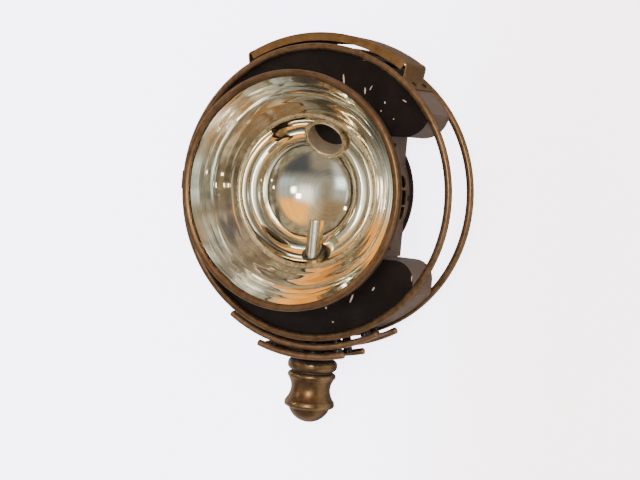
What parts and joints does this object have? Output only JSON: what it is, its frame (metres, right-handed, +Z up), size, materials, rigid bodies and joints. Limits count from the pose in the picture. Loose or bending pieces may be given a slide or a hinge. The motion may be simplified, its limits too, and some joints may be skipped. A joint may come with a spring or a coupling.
{
  "type": "acetylene headlamp",
  "caption": "Early motoring brass headlamp: two hoops rim a chimney box and an air box round a drum with a mirror, burner and hinged glazed door, on a stem with a turned finial nut.",
  "frame": {"origin": "Centre of the collar's flat underside on the stem's axis, where the car's bracket is clamped.", "axes": "+Z is up along the stem, -Y is the direction of the beam, +X is to the right as seen from in front of the lamp."},
  "size_m": [0.26, 0.1261, 0.3468],
  "materials": {
    "hoop_brass": "aged brown brass, satin",
    "cap_brass": "aged brown brass, satin",
    "baffle_brass": "aged brown brass, satin",
    "door_brass": "aged brass with a worn bright edge",
    "finial_brass": "aged brown brass, smooth",
    "gas_brass": "dull brass",
    "plate_black": "glossy black enamel, chipped",
    "wall_paint": "worn dark enamel over brass",
    "casing_black": "black enamel",
    "reflector_silver": "polished silvered metal, slightly tarnished",
    "burner_silver": "polished nickelled metal",
    "burner_ceramic": "unglazed steatite",
    "grommet_fibre": "charred fibre",
    "fixing_steel": "dull steel",
    "lens_glass": "clear glass with a faint green edge",
    "gasket_felt": "dark felt cord"
  },
  "bodies": {
    "lamp": {"front_hoop": "hoop_brass", "rear_hoop": "hoop_brass", "upper_front_plate": "plate_black", "upper_rear_plate": "plate_black", "upper_wall": "wall_paint", "lower_front_plate": "plate_black", "lower_rear_plate": "plate_black", "lower_wall": "wall_paint", "chimney_cap": "cap_brass", "cap_rivets": "cap_brass", "inner_baffle": "baffle_brass", "outer_baffle": "baffle_brass", "baffle_spacers": "wall_paint", "drum_shell": "wall_paint", "rear_cover": "casing_black", "cover_screws": "gas_brass", "upper_saddles": "wall_paint", "lower_saddles": "wall_paint", "flare_casing": "casing_black", "flare_reflector": "reflector_silver", "mirror_bowl": "reflector_silver", "mirror_ring": "gas_brass", "chimney_throat": "burner_silver", "throat_ring": "gas_brass", "burner_tube": "burner_silver", "burner_jet": "burner_ceramic", "burner_grommet": "grommet_fibre", "burner_nut": "gas_brass", "gas_pipe": "gas_brass", "gas_inlet": "gas_brass", "stem": "fixing_steel", "stem_plate": "fixing_steel", "stem_nut": "fixing_steel", "collar": "finial_brass", "hinge_bracket": "door_brass", "hinge_pin": "fixing_steel", "door_catch": "fixing_steel"},
    "door": {"bezel": "door_brass", "front_glass": "lens_glass", "glass_gasket": "gasket_felt", "glass_ring": "door_brass", "hinge_leaf": "door_brass"},
    "washer": {"clamp_washer": "fixing_steel"},
    "finial_nut": {"finial": "finial_brass"}
  },
  "joints": [
    {"name": "door_hinge", "type": "hinge", "parent": "lamp", "child": "door", "pos_m": [-0.105, -0.07055, 0.1615], "axis": [0, 0, -1], "range_deg": [0, 120]},
    {"name": "washer_drop", "type": "slide", "parent": "lamp", "child": "washer", "axis": [0, 0, -1], "range_m": [0, 0.006]},
    {"name": "finial_turn", "type": "hinge", "parent": "washer", "child": "finial_nut", "pos_m": [0, 0, -0.016], "axis": [0, 0, -1], "range_deg": [0, 1440]}
  ],
  "couplings": [
    {"joint": "washer_drop", "follows": "finial_turn", "m_per_rad": 0.00023873}
  ]
}
